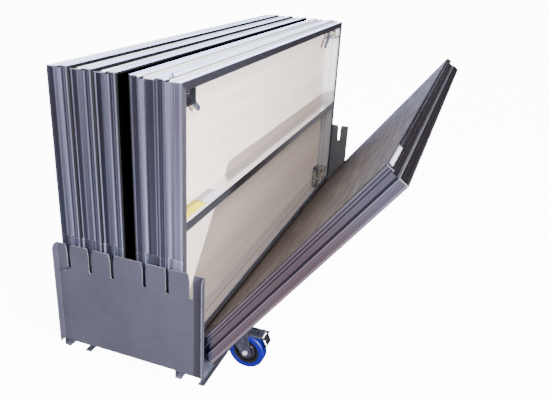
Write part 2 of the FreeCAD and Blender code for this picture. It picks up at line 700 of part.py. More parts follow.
def make_frame():
    long_rail = frame_rail("long_rail", dim("deck_length"))
    end_rail = frame_rail("end_rail", dim("deck_height"))
    middle = dim("deck_height") / 2
    half = dim("deck_length") / 2
    return [group("frame_top", [long_rail], (0, 0, dim("deck_height")), X_AXIS, -90),
            group("frame_bottom", [long_rail], (0, 0, 0), X_AXIS, 90),
            group("frame_near", [end_rail], (0, -half, middle)),
            group("frame_far", [end_rail], (0, half, middle), X_AXIS, 180)]


def make_panel():
    rim = dim("frame_rim")
    return box("panel", (0, rim - dim("deck_length") / 2, rim),
               (dim("panel_thickness"), dim("deck_length") - 2 * rim, dim("deck_height") - 2 * rim))


def make_beam():
    """Rectangular tube along the deck at half its height, between the end rails."""
    depth = dim("deck_thickness") - dim("lip_wall") - dim("panel_thickness")
    length = dim("deck_length") - 2 * dim("frame_body")
    wall = dim("beam_wall")
    low = dim("deck_height") / 2 - dim("beam_width") / 2
    outer = box("beam_outer", (dim("panel_thickness"), -length / 2, low), (depth, length, dim("beam_width")))
    bore = box("beam_bore", (dim("panel_thickness") + wall, -length / 2 - OVERCUT, low + wall),
               (depth - 2 * wall, length + 2 * OVERCUT, dim("beam_width") - 2 * wall))
    return cut("mid_beam", outer, [bore])


def pocket_reach():
    return dim("frame_lip") + dim("leg_side")


def jaw_reach():
    return pocket_reach() + dim("jaw_room")


def screw_level():
    return dim("panel_thickness") + bracket_depth() / 2


def bracket_depth():
    return dim("deck_thickness") - dim("lip_wall") - dim("panel_thickness") - dim("bracket_set_back")


def on_screw_axis(name, items):
    """Puts items, made along Z, on the wing screw's axis, with their origin at the bracket's outer face."""
    at = (screw_level(), jaw_reach() + dim("bracket_wall"), dim("screw_height"))
    return group(name, items, at, X_AXIS, dim("screw_lean") - 90)


def make_leg_bracket():
    """Angle around a square leg pocket; the deck's outer corner is at the origin, Y and Z point inwards."""
    start = dim("frame_body")
    reach = pocket_reach()
    wall = dim("bracket_wall")
    upright = box("bracket_upright", (dim("panel_thickness"), jaw_reach(), start),
                  (bracket_depth(), wall, reach + wall - start))
    level = box("bracket_level", (dim("panel_thickness"), start, reach),
                (bracket_depth(), jaw_reach() + wall - start, wall))
    inside = dim("boss_inside")
    length = inside + dim("boss_outside")
    boss = cylinder("bracket_boss", (0, 0, -inside), dim("boss_radius"), length)
    bore = cylinder("bracket_bore", (0, 0, -inside - OVERCUT), dim("screw_radius") + dim("running_gap"),
                    length + 2 * OVERCUT)
    angle = fuse("bracket_angle", [upright, level, on_screw_axis("bracket_boss_placed", [boss])])
    return cut("leg_bracket", angle, [on_screw_axis("bracket_bore_placed", [bore])])


def make_wing_screw():
    """Wing screw with a rounded blade, leaning through the bracket's wall towards the pocket."""
    thick = dim("wing_thickness")
    span = dim("wing_span")
    reach = dim("screw_reach")
    height = dim("wing_height")
    inside = dim("screw_inside")
    shank = cylinder("screw_shank", (0, 0, -inside), dim("screw_radius"), inside + reach + height / 2)
    collar = cylinder("screw_collar", (0, 0, reach - thick / 2), dim("screw_collar"), thick)
    blade = box("screw_blade", (-thick / 2, -span / 2, reach), (thick, span, height))
    end = cylinder("screw_blade_end", (-thick / 2, 0, reach + height), span / 2, thick, Y_AXIS, 90)
    return on_screw_axis("wing_screw", [fuse("wing_screw_made", [shank, collar, blade, end])])


def at_corners(item, label):
    """The item at the four corners; opposite corners are half turns about X, the others are mirrored."""
    half = dim("deck_length") / 2
    mirrored = doc.addObject("Part::Mirroring", f"{label}_mirrored")
    mirrored.Source = item
    mirrored.Normal = Y_AXIS
    top = dim("deck_height")
    return {"front_low": group(f"{label}_front_low", [item], (0, -half, 0)),
            "rear_high": group(f"{label}_rear_high", [item], (0, half, top), X_AXIS, 180),
            "rear_low": group(f"{label}_rear_low", [mirrored], (0, half, 0)),
            "front_high": group(f"{label}_front_high", [mirrored], (0, -half, top), X_AXIS, 180)}


def deck_node(number, piece, items):
    """A piece of a deck in its place; tops of decks 1 to 3 face right, the others left, 6 is tilted."""
    name = f"deck_{number}_{piece}"
    if number == 6:
        standing = group(f"{name}_standing", items, (-dim("deck_thickness"), 0, -dim("leg_set_back")))
        placed = group(f"{name}_placed", [standing], (tilt_foot, 0, deck_bottom), Y_AXIS, dim("deck_tilt"))
    elif number < 4:
        right = deck_left(number) + dim("deck_thickness")
        placed = group(f"{name}_placed", items, (right, 0, deck_bottom), Z_AXIS, 180)
    else:
        placed = group(f"{name}_placed", items, (deck_left(number), 0, deck_bottom))
    return node(name, placed)


def make_decks():
    frame = make_frame()
    panel = make_panel()
    beam = make_beam()
    brackets = at_corners(make_leg_bracket(), "leg_bracket")
    screws = at_corners(make_wing_screw(), "wing_screw")
    for number in range(1, 7):
        deck_node(number, "frame", frame)
        deck_node(number, "panel", [panel])
        deck_node(number, "mid_beam", [beam])
        if number == 5:
            deck_node(number, "leg_brackets", list(brackets.values()))
            for corner, screw in screws.items():
                deck_node(number, f"wing_screw_{corner}", [screw])
        else:
            deck_node(number, "leg_clamps", list(brackets.values()) + list(screws.values()))


def make_lock_pins():
    """Pins on groove nuts in the first deck's ends, which rest in the end plates' first slots."""
    x = slot_places()[0] + dim("slot_width") / 2 - dim("pin_gap") - dim("pin_radius")
    z = slot_bottom + dim("slot_width") / 2
    seat = dim("deck_length") / 2 - dim("groove_depth")
    thick = dim("nut_thickness")
    nut_width = dim("groove_width") - 2 * (dim("groove_taper") + dim("nut_margin"))
    groove_far_side = deck_left(1) + dim("deck_thickness") - dim("groove_start") - dim("groove_width")
    nut_left = groove_far_side + dim("groove_taper") + dim("nut_margin")
    pins = []
    for end in ENDS:
        angle = -90 * end
        rod = cylinder(f"pin_rod_{end}", (x, end * seat, z), dim("pin_radius"),
                       plate_outer + dim("pin_reach") - seat, X_AXIS, angle)
        near_face = seat if end > 0 else -seat - thick
        nut = box(f"pin_nut_{end}", (nut_left, near_face, z - dim("nut_height") / 2),
                  (nut_width, thick, dim("nut_height")))
        pins.append(fuse(f"lock_pin_{end}", [rod, nut]))
    node("deck_1_lock_pins", group("lock_pins", pins))


def make_groove_clips():
    """Two small pointed clips that stand in the upper groove of the fifth deck."""
    x = deck_left(5) + dim("groove_start") + dim("groove_width") / 2
    foot = deck_bottom + dim("deck_height") - dim("groove_depth")
    half = dim("clip_width") / 2
    thick = dim("clip_thickness")
    tip = thick / 2
    across = (-thick / 2, thick / 2)
    station = dim("deck_length") / 2 - dim("clip_inset")
    clips = [wedge(f"groove_clip_{end}", (*across, -half, half), (*across, -tip, tip),
                   (0, dim("groove_depth") + dim("clip_rise")), (x, end * station, foot), X_AXIS, 90)
             for end in ENDS]
    node("deck_5_groove_clips", group("groove_clips", clips))


make_end_plates()
make_rail("base_rail_left", -rail_centre)
make_rail("base_rail_right", rail_centre)
make_cross_bars()
make_bolts()
make_casters()
make_decks()
make_lock_pins()
make_groove_clips()
doc.recompute()

for item in doc.Objects:
    if "Invalid" in item.State or "Error" in item.State:
        raise RuntimeError(f"{item.Label} failed: {item.State}")
for name, item in nodes.items():
    if item.Shape.isNull() or not item.Shape.isValid() or not item.Shape.Solids:
        raise RuntimeError(f"{name} has no valid solid")
for name, item in nodes.items():
    Part.makeCompound(item.Shape.Solids).exportStep(f"parts/{name}.step")
print(f"{len(nodes)} sub-parts written")
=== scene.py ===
import math

import bpy
import numpy as np
from mathutils import Matrix, Vector


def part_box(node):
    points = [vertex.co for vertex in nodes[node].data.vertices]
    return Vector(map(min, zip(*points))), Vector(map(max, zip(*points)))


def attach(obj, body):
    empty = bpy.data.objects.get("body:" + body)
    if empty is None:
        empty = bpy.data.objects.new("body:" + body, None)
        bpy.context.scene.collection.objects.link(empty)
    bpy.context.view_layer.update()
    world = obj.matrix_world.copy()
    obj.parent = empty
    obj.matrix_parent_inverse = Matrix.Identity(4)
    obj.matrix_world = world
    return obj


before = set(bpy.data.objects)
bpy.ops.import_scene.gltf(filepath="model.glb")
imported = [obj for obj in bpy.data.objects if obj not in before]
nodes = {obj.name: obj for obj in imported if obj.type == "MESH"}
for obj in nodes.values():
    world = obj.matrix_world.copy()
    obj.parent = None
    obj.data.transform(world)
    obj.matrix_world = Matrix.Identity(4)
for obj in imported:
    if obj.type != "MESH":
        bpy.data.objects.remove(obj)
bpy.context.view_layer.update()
print("frame loaded:", len(nodes), "nodes")


def tint(red, green, blue):
    # a screen colour of 0 to 255 as the linear colour a shader wants
    part = np.array([red, green, blue]) / 255
    linear = np.where(part < 0.04045, part / 12.92, ((part + 0.055) / 1.055) ** 2.4)
    return (*linear.tolist(), 1.0)


class Wire:
    # a shader socket; arithmetic on wires adds Math nodes to its tree
    def __init__(self, tree, socket):
        self.tree = tree
        self.socket = socket

    def node(self, kind, settings=None, inputs=None, out=0):
        # any node: its settings first, then the values or links of its sockets
        made = self.tree.nodes.new(kind)
        for key, value in (settings or {}).items():
            setattr(made, key, value)
        for key, value in (inputs or {}).items():
            if isinstance(value, Wire):
                self.tree.links.new(value.socket, made.inputs[key])
            else:
                made.inputs[key].default_value = value
        return Wire(self.tree, made.outputs[out])

    def math(self, operation, first, second=0.0):
        return self.node("ShaderNodeMath", {"operation": operation}, {0: first, 1: second})

    def __add__(self, other):
        return self.math("ADD", self, other)

    def __sub__(self, other):
        return self.math("SUBTRACT", self, other)

    def __rsub__(self, other):
        return self.math("SUBTRACT", other, self)

    def __mul__(self, other):
        return self.math("MULTIPLY", self, other)

    def __abs__(self):
        return self.math("ABSOLUTE", self)

    __radd__ = __add__
    __rmul__ = __mul__

    def rise(self, low, high):
        # 0 below low, 1 above high, smooth between
        return self.node("ShaderNodeMapRange", {"interpolation_type": "SMOOTHSTEP"},
                         {"Value": self, "From Min": low, "From Max": high})

    def band(self, low, high, soft):
        # 1 between low and high, falling to 0 over a soft margin outside them
        return self.rise(low - soft, low) * (1 - self.rise(high, high + soft))

    def axis(self, letter):
        return self.node("ShaderNodeSeparateXYZ", None, {0: self}, letter)

    def stretch(self, *scale):
        return self.node("ShaderNodeVectorMath", {"operation": "MULTIPLY"}, {0: self, 1: scale})

    def noise(self, scale, detail=3.0, rough=0.55):
        return self.node("ShaderNodeTexNoise", None,
                         {"Vector": self, "Scale": scale, "Detail": detail, "Roughness": rough})

    def colour(self, first, second):
        # this wire mixes from the first colour to the second
        return self.node("ShaderNodeMix", {"data_type": "RGBA"}, {0: self, 6: first, 7: second}, 2)

    def bump(self, distance, strength=1.0, normal=None):
        inputs = {"Height": self, "Distance": distance, "Strength": strength}
        if normal:
            inputs["Normal"] = normal
        return self.node("ShaderNodeBump", None, inputs)

    def normal(self):
        # the normal in the object's own axes
        return self.node("ShaderNodeTexCoord", None, None, "Normal")

    def rounded(self, radius):
        return self.node("ShaderNodeBevel", {"samples": 4}, {"Radius": radius})

    def edge(self, radius):
        # 0 on a flat face, up to 1 along an edge: how far the rounded normal leans from the true one
        true = self.node("ShaderNodeNewGeometry", None, None, "Normal")
        dot = self.node("ShaderNodeVectorMath", {"operation": "DOT_PRODUCT"},
                        {0: self.rounded(radius), 1: true}, "Value")
        return (1 - dot).rise(0.02, 0.3)


def newFinish(name):
    # an empty principled material and its object coordinates
    material = bpy.data.materials.new(name)
    material.use_nodes = True
    tree = material.node_tree
    source = tree.nodes.new("ShaderNodeTexCoord")
    return material, tree.nodes["Principled BSDF"], Wire(tree, source.outputs["Object"])


def setShader(shader, values):
    for key, value in values.items():
        if isinstance(value, Wire):
            value.tree.links.new(value.socket, shader.inputs[key])
        else:
            shader.inputs[key].default_value = value


def dress(names, material):
    for name in names:
        slotShade = nodes[name].data.materials
        slotShade.clear()
        slotShade.append(material)


cameraPlace = {
    "place": (1.03604, -2.53785, 1.66022),
    "right": (0.937199, 0.344959, 0.051588),
    "down": (0.174911, -0.336849, -0.92517),
    "forward": (-0.301768, 0.876091, -0.376032),
    "lens": 38.62,
    "sensor": 36.0,
    "shift": (0.006126, -0.023174),
    "clipEnd": 200,
}


def setCamera(view):
    camera = bpy.data.cameras.new("camera")
    camera.sensor_width = view["sensor"]
    camera.lens = view["lens"]
    camera.shift_x, camera.shift_y = view["shift"]
    camera.clip_end = view["clipEnd"]
    holder = bpy.data.objects.new("camera", camera)
    bpy.context.scene.collection.objects.link(holder)
    turn = Matrix((view["right"], -Vector(view["down"]), -Vector(view["forward"]))).transposed()
    holder.matrix_world = Matrix.Translation(view["place"]) @ turn.to_4x4()
    bpy.context.scene.camera = holder


setCamera(cameraPlace)

lamps = {
    "keyFrom": (0.740, -0.585, 0.334),  # read off the tilted deck's shadow on its neighbour
    "keyThrough": (0.905, -1.0, 1.03),  # the deck's upper near corner, whose shadow was read
    "keyTarget": (0.2, 0, 0.7),
    "keyDistance": 3.8,
    "keySize": 0.04,
    "keyPower": 690,
    "keyColour": (0.95, 0.97, 1.0),
    "boxes": (((1.3, -3.0, 1.2), 50), ((1.45, -1.9, 2.5), 95)),  # places and powers of the soft boxes
    "boxTarget": (0.25, -0.2, 0.7),
    "boxSize": 1.4,
    "boxColour": (1.0, 0.94, 0.88),
}


def areaLight(name, place, target, size, power, colour):
    light = bpy.data.lights.new(name, "AREA")
    light.shape = "DISK"
    light.size = size
    light.energy = power
    light.color = colour
    holder = bpy.data.objects.new(name, light)
    bpy.context.scene.collection.objects.link(holder)
    look = Vector(target) - Vector(place)
    holder.matrix_world = Matrix.Translation(place) @ look.to_track_quat("-Z", "Y").to_matrix().to_4x4()
    return holder


def setLamps(rig):
    # a small hard key from the right, and soft boxes that open the shadow behind the tilted deck
    keyPlace = Vector(rig["keyThrough"]) + Vector(rig["keyFrom"]) * rig["keyDistance"]
    areaLight("keyLight", keyPlace, rig["keyTarget"], rig["keySize"], rig["keyPower"], rig["keyColour"])
    for place, power in rig["boxes"]:
        softBox = areaLight("softBox", place, rig["boxTarget"], rig["boxSize"], power, rig["boxColour"])
        softBox.visible_glossy = False


studio = {
    "sky": (0.95, 0.97, 1.02, 1),
    "fill": (1.1, 1.07, 1.05, 1),
    "fillAcross": (-0.2, 0.3),
    "horizon": (-0.12, 0.1),
    "low": (0.13, 0.125, 0.13, 1),
    "frontLeft": (0.7, 0.7, 0.93, 1),
    "frontRight": (0.52, 0.37, 0.385, 1),
    "frontHigh": (0.62, 0.58, 0.7, 1),
    "frontReach": (0.1, 0.5),
    "leftReach": (0.31, 0.45),
    "highReach": (-0.45, -0.38),
    "patches": (2, 2, 9),  # how often the dim patches in front change, by direction
    "patchRange": (0.3, 0.7),
    "patchTone": 0.4,
    "warmStrip": (0.42, 0.2, 0.15, 1),
    "stripHeights": (-0.3, -0.25, 0.05),  # low, high and soft margin, as in the other bands
    "stripTone": 0.3,
    "frontGlow": (0.6, 0.6, 0.68, 1),
    "glowAcross": (0.06, 0.3),
    "glowAhead": (0.3, 0.6),
    "glowHeights": (-0.4, 0.3, 0.15),
    "backRight": (0.05, 0.04, 0.05, 1),
    "rightTurn": (0.05, 1.3, 0.12),
    "rightTop": (0.3, 0.5),
    "backLeft": (4.2, 4.5, 6.8, 1),
    "leftTurn": (-1.15, -0.16, 0.08),
    "leftHeights": (0.04, 0.42, 0.05),
    "white": (12.0, 12.0, 12.0, 1),
}


def setRoom(room):
    # the room by direction: a bright screen behind on the left, a dark corner behind on the right,
    # a dim floor, soft white above; a ray straight from the camera sees plain white
    world = bpy.data.worlds.new("studio")
    world.use_nodes = True
    bpy.context.scene.world = world
    tree = world.node_tree
    source = tree.nodes.new("ShaderNodeTexCoord")
    look = Wire(tree, source.outputs["Generated"])
    x, y, z = look.axis("X"), look.axis("Y"), look.axis("Z")
    turn = look.math("ARCTAN2", x, y)  # 0 straight behind the object, growing to the right
    front = (-1 * y).rise(*room["frontReach"])
    left = (-1 * x).rise(*room["leftReach"])
    uneven = look.stretch(*room["patches"]).noise(1.0, 2).rise(*room["patchRange"])
    right = z.rise(*room["highReach"]).colour(room["frontRight"], room["frontHigh"])
    ahead = left.colour(right, room["frontLeft"])
    strip = (z.band(*room["stripHeights"]) * left * room["stripTone"]).colour(ahead, room["warmStrip"])
    dimmed = (uneven * room["patchTone"]).colour(strip, room["low"])
    below = front.colour(room["low"], dimmed)
    above = x.rise(*room["fillAcross"]).colour(room["sky"], room["fill"])
    upAndDown = z.rise(*room["horizon"]).colour(below, above)
    glowing = x.rise(*room["glowAcross"]) * (-1 * y).rise(*room["glowAhead"]) * z.band(*room["glowHeights"])
    glow = glowing.colour(upAndDown, room["frontGlow"])
    darkened = turn.band(*room["rightTurn"]) * (1 - z.rise(*room["rightTop"]))
    dark = darkened.colour(glow, room["backRight"])
    screen = turn.band(*room["leftTurn"]) * z.band(*room["leftHeights"])
    lit = screen.colour(dark, room["backLeft"])
    straight = look.node("ShaderNodeLightPath", None, None, "Is Camera Ray")
    setShader(tree.nodes["Background"], {"Color": straight.colour(lit, room["white"]), "Strength": 1.0})


paleFloor = {
    "half": 80,
    "grain": 0.8,
    "tones": ((0.86, 0.86, 0.87, 1), (0.9, 0.9, 0.9, 1)),
    "rough": 0.9,
    "glow": 12.0,
}


def setFloor(look):
    half = look["half"]
    points = [(-half, -half, 0), (half, -half, 0), (half, half, 0), (-half, half, 0)]
    mesh = bpy.data.meshes.new("floor")
    mesh.from_pydata(points, [], [(0, 1, 2, 3)])
    floor = bpy.data.objects.new("floor", mesh)
    bpy.context.scene.collection.objects.link(floor)
    floor.visible_glossy = False
    floor.visible_diffuse = False
    material, shader, place = newFinish("paleFloor")
    setShader(shader, {
        "Base Color": place.noise(look["grain"]).colour(*look["tones"]), "Roughness": look["rough"],
        "Emission Color": (1, 1, 1, 1), "Emission Strength": look["glow"],
    })
    mesh.materials.append(material)


setLamps(lamps)
setRoom(studio)
setFloor(paleFloor)
print("camera, light and floor set")


tilt = {"lean": math.radians(36.6), "foot": 0.313, "seat": 0.281, "setBack": 0.007, "depth": 0.0885}
leanCos, leanSin = math.cos(tilt["lean"]), math.sin(tilt["lean"])
upright = {
    "rise": (0, 1), "foot": -0.281,
    "line": (0.0, 0.0385),  # tone and depth of one more painted highlight line on the ends
    "hollow": 0.0,  # shade in the far half of the groove
    "gap": 0.2,  # painted shade along the upper edge from this depth on, where the next deck stands close
    "behind": 1,  # 1 where an end plate stands close before the ends; their lower part is painted in shade there
    "wall": 1.0, "film": 0.01,  # shares of the groove walls' and the film's colour, set by how light falls: near-black film on the upright decks is painted shade in the gaps between them
}
# each deck's place, then the tones of its end faces: painted reflection and highlights, set deck by deck
deckPlaces = {
    1: {**upright, "across": (-1, 0), "start": -0.19725, "leg": 0.1, "rib": 0.45, "corner": 0.1,
        "fade": 6.0, "groove": 0.9, "edge": 0.7},
    2: {**upright, "across": (-1, 0), "start": -0.10775, "leg": 0.1, "rib": 0.3, "corner": 0.7,
        "fade": 5.0, "groove": 0.4, "edge": 1.0, "line": (0.5, 0.0385), "gap": 0.0645},
    3: {**upright, "across": (-1, 0), "start": -0.01825, "leg": 0.06, "rib": 0.35, "corner": 1.0,
        "fade": 4.5, "groove": 0.55, "edge": 0.8, "line": (0.6, 0.0385), "gap": 0.0645},
    4: {**upright, "across": (1, 0), "start": -0.02625, "leg": 0.15, "rib": 0.13, "corner": 0.3,
        "fade": 0.0, "groove": 1.0, "edge": 0.3},
    5: {**upright, "across": (1, 0), "start": -0.11575, "leg": 0.62, "rib": 0.25, "corner": 1.0,
        "fade": 0.0, "groove": 1.0, "edge": 0.3},
    6: {"across": (leanCos, -leanSin),
        "start": tilt["depth"] - tilt["foot"] * leanCos + tilt["seat"] * leanSin,
        "rise": (leanSin, leanCos),
        "foot": tilt["setBack"] - tilt["foot"] * leanSin - tilt["seat"] * leanCos,
        "leg": 0.58, "rib": 0.75, "corner": 1.0, "fade": 0.0, "groove": 0.45, "edge": 0.0,
        "line": (0.7, 0.0555), "hollow": 0.85, "gap": 0.2, "behind": 0, "wall": 0.36, "film": 0.86},
}


def deckAxes(place, deck):
    # a deck's own axes in metres: X the depth from its top surface, Y along it, Z the height up it
    x, y, z = place.axis("X"), place.axis("Y"), place.axis("Z")
    depth = x * deck["across"][0] + z * deck["across"][1] + deck["start"]
    height = x * deck["rise"][0] + z * deck["rise"][1] + deck["foot"]
    return place.node("ShaderNodeCombineXYZ", None, {0: depth, 1: y, 2: height})


drawnMetal = {
    "fine": (700, 0.02, 0.02),  # how often the die lines change per metre, across, along and up
    "broad": (210, 0.02, 0.02),
    "cloud": (13, 0.9, 0.9),
    "broadRange": (0.42, 0.6),
    "scratchRange": (0.54, 0.66),
    "halfLength": 1.0,
    "halfHeight": 0.5,
    "mitre": (-0.001, 0.001),  # from here on, sizes in metres at which one look turns into the next
    "mitreSeam": (0.0003, 0.0009),
    "endWall": (0.02, 0.024),
    "footWall": (0.006, 0.008),
    "rim": (0.0006, 0.0012),
    "endRim": (0.0026, 0.0034),
    "gapSoft": 0.0008,
    "edge": (0.0055, 0.0095, 0.0015),
    "railSlots": ((0.0212, 0.0222, 0.001), (0.0415, 0.0425, 0.001)),
    "ribs": (0.0245, 0.0275),
    "grooveWalls": (0.0262, 0.0538, 0.0004),
    "groove": (0.029, 0.051, 0.0012),
    "grooveHalf": (0.044, 0.046),
    "lineSoft": (0.0012, 0.0026),
    "setBack": (0.0522, 0.0528),
    "besideGroove": (0.059, 0.065),
    "corner": (0.0792, 0.0802),
    "lip": (0.0838, 0.0846),
    "arris": (0.0018, 0.0028),
    "lowerHalf": (0.49, 0.51),
    "farHalf": (0.2, 0.4),
    "plateTop": (0.384, 0.39),
    "sideFacing": (0.6, 0.8),  # parts of a normal that count as facing that way
    "endFacing": (0.4, 0.7),
    "pale": tint(238, 239, 243),
    "dim": tint(218, 220, 227),
    # from shade to behind: colours for painted reflection, highlight and shade on the ends, lips, walls and
    # inner faces
    "shade": (0.035, 0.035, 0.045, 1),
    "cold": (0.8, 0.81, 0.97, 1),
    "wall": (0.3, 0.305, 0.38, 1),
    "wallTop": (0.6, 0.61, 0.67, 1),
    "lipUpper": (0.5, 0.5, 0.58, 1),
    "lipLower": (0.42, 0.445, 0.56, 1),
    "lipEnd": (0.6, 0.61, 0.76, 1),
    "lipFar": (0.1, 0.102, 0.13, 1),
    "behind": (0.2, 0.206, 0.262),
    "seam": tint(66, 66, 72),
    "rimShade": (0.012, 0.012, 0.014, 1),
    "smooth": 0.07,
    "specular": 0.1,
}


def scaled(colour, share):
    return [part * share for part in colour[:3]] + [1]


def aluminium(name, deck, metal):
    # drawn aluminium: long die lines, mitre seams at the corners, end faces toned by the profile as painted
    # reflection, a satin lip below, groove walls, and a dark rim round the board above; ends, lip, walls,
    # inner faces, arrises and rim carry painted light and shade
    material, shader, place = newFinish(name)
    local, normal = deckAxes(place, deck), place.normal()
    depth, y, height = local.axis("X"), local.axis("Y"), local.axis("Z")
    fine = local.stretch(*metal["fine"]).noise(1.0, 3)
    broad = local.stretch(*metal["broad"]).noise(1.0, 1, 0.5).rise(*metal["broadRange"])
    cloud = local.stretch(*metal["cloud"]).noise(1.0, 2)

    # where a point is: how far from the ends and edges, which way it faces, which part of the profile
    toEnd = metal["halfLength"] - abs(y)
    toEdge = metal["halfHeight"] - abs(height - metal["halfHeight"])
    onEnd = (toEdge - toEnd).rise(*metal["mitre"])
    across = normal.axis("X") * deck["across"][0] + normal.axis("Z") * deck["across"][1]
    facing = abs(across).rise(*metal["sideFacing"])
    endFacing = abs(normal.axis("Y")).rise(*metal["endFacing"])
    inside = toEnd.rise(*metal["endWall"]) * endFacing
    ends = endFacing - inside
    walls = facing * depth.band(*metal["grooveWalls"])
    ribs = 1 - depth.rise(*metal["ribs"])
    groove = depth.band(*metal["groove"])
    lip = depth.rise(*metal["lip"])
    lower = 1 - height.rise(*metal["lowerHalf"])
    # the ends' lower part, close behind the end plate, becomes a dull dimmed copy of their tones: painted
    # shade
    behind = deck["behind"] * ends * (1 - height.rise(*metal["plateTop"]))
    # a near-black rim painted along the board's edge and a dark band toward the next deck: painted shade in
    # the gaps between decks
    edgeShade = (1 - depth.rise(*metal["rim"])) * (1 - ends) + (1 - depth.rise(*metal["endRim"])) * ends
    gap = depth.rise(deck["gap"], deck["gap"] + metal["gapSoft"]) * (1 - ends) * (1 - facing) * (1 - onEnd)
    rim = edgeShade + gap
    setBack = tilt["setBack"] * depth.rise(*metal["setBack"])
    # the corners where end and edge meet, painted pale below as a highlight
    arris = 1 - (place.math("MAXIMUM", toEnd, toEdge) - setBack).rise(*metal["arris"])

    # the end faces: painted reflection, tones by profile, with bright lines along it as painted highlights
    legTone = deck["leg"] * (0.6 + 0.3 * broad + 0.3 * cloud
                             + deck["fade"] * (1 - depth.rise(*metal["besideGroove"])))
    ribTone = deck["rib"] * broad * (0.4 + cloud) + 0.05
    grooveTone = deck["groove"] * (1 - deck["hollow"] * depth.rise(*metal["grooveHalf"]))
    bodyTone = groove * grooveTone + (1 - groove) * (ribs * ribTone + (1 - ribs) * legTone)
    lineTone, lineDepth = deck["line"]
    brightLines = (depth.rise(*metal["corner"]) * deck["corner"] + depth.band(*metal["edge"]) * deck["edge"]
                   + (1 - abs(depth - lineDepth).rise(*metal["lineSoft"])) * lineTone)
    faced = (bodyTone + brightLines).colour(metal["shade"], metal["cold"])

    # the other faces: plain sides, inner faces, lip and groove walls, with painted light and shade on the
    # lip, the inner faces and the walls
    plain = (0.5 * fine + 0.5 * broad).colour(metal["dim"], metal["pale"])
    # lip colours by place are painted reflection and shade: dark on the upper rail and at the far end,
    # bluish below, paler on the near end
    lipAlong = lower.colour(metal["lipUpper"], metal["lipLower"])
    lipNear = onEnd.colour(lipAlong, metal["lipEnd"])
    lipColour = (onEnd * y.rise(*metal["farHalf"])).colour(lipNear, metal["lipFar"])
    # inner faces darker in their lower half: painted shadow
    sides = lip.colour((0.62 * inside * lower).colour(plain, metal["shade"]), lipColour)
    # groove walls: a tone per deck and a darker foot, painted light and shade
    wallTop = scaled(metal["wallTop"], deck["wall"])
    wallAlong = toEdge.rise(*metal["footWall"]).colour(wallTop, metal["shade"])
    wall = onEnd.colour(wallAlong, metal["wall"])
    turned = walls.colour(ends.colour(sides, faced), wall)

    # seams, dark slot lines as painted shade, pale arrises at the corners as painted highlight, and the feet
    # of the ends close behind the end plate in painted shade
    seam = (1 - abs(toEnd - toEdge).rise(*metal["mitreSeam"])) * (1 - ends) * lip
    # dark lines on the inner faces: painted shade of grooves
    upperSlot, lowerSlot = metal["railSlots"]
    slotShade = inside * (depth.band(*upperSlot) + depth.band(*lowerSlot))
    seamsWithPaintedLight = (0.8 * seam + 0.8 * slotShade).colour(arris.colour(turned, metal["pale"]), metal["seam"])
    faceColour = behind.colour(seamsWithPaintedLight, faced.stretch(*metal["behind"]))
    scratches = fine.rise(*metal["scratchRange"]) * (1 - ends) * (1 - lip)
    satin = 0.2 * lip * (1 - ends) + 0.4 * rim + 0.3 * walls + 0.4 * arris + 0.16 * scratches
    dullLip = lip * (1 - ends) * (0.04 * onEnd + 0.25 * lower * (1 - onEnd))
    dull = rim + walls * (1 - onEnd) + 0.95 * inside + behind + dullLip
    setShader(shader, {
        "Base Color": rim.colour(faceColour, metal["rimShade"]), "Metallic": 1 - dull,
        "Roughness": metal["smooth"] + 0.05 * fine + 0.05 * cloud + satin,
        "Specular IOR Level": metal["specular"],
    })
    return material


beamLook = {
    "fine": (900, 0.06, 900),
    "broad": (120, 0.3, 160),
    "broadRange": (0.36, 0.64),
    "lower": (0.0836, 0.0842),  # the lower face lies past this depth
    "along": (-0.5, 0.95),
    # lower-face tones: painted shade near, painted reflection far
    "near": (0.03, 0.031, 0.04, 1),
    "far": (0.62, 0.64, 0.74, 1),
    "round": 0.001,
}


def beamMetal(name, deck, metal, beam):
    # the beam's wide sides stay bright; its lower face is duller, painted dark near and pale far as painted
    # shade and reflection, with drawn lines
    material, shader, place = newFinish(name)
    local = deckAxes(place, deck)
    fine = local.stretch(*beam["fine"]).noise(1.0, 3)
    broad = local.stretch(*beam["broad"]).noise(1.0, 4, 0.6).rise(*beam["broadRange"])
    lower = local.axis("X").rise(*beam["lower"])
    bright = (0.5 * fine + 0.5 * broad).colour(metal["dim"], metal["pale"])
    farther = 0.12 * broad + 0.05 * fine + 0.8 * local.axis("Y").rise(*beam["along"])
    setShader(shader, {
        "Base Color": lower.colour(bright, farther.colour(beam["near"], beam["far"])),
        "Metallic": 1 - 0.45 * lower,
        "Roughness": 0.12 + 0.06 * fine + 0.22 * lower, "Normal": place.rounded(beam["round"]),
    })
    return material


boardLook = {
    "ply": (tint(222, 206, 195), tint(242, 230, 224)),
    "film": (tint(34, 28, 27), tint(64, 56, 53), tint(116, 106, 102)),  # low and high grain, pale flecks
    "split": (0.005, 0.007),  # the film lies above this depth
    "wander": (1, 0.7, 8),
    "grain": (1, 1.4, 46),
    "streak": (1, 5, 75),
    "fibre": (1, 6, 420),
    "streakRange": (0.42, 0.7),
    "plyRange": (0.3, 0.7),
    "filmRange": (0.32, 0.7),
    "bump": (0.002, 0.4),
    "specular": 0.42,
}


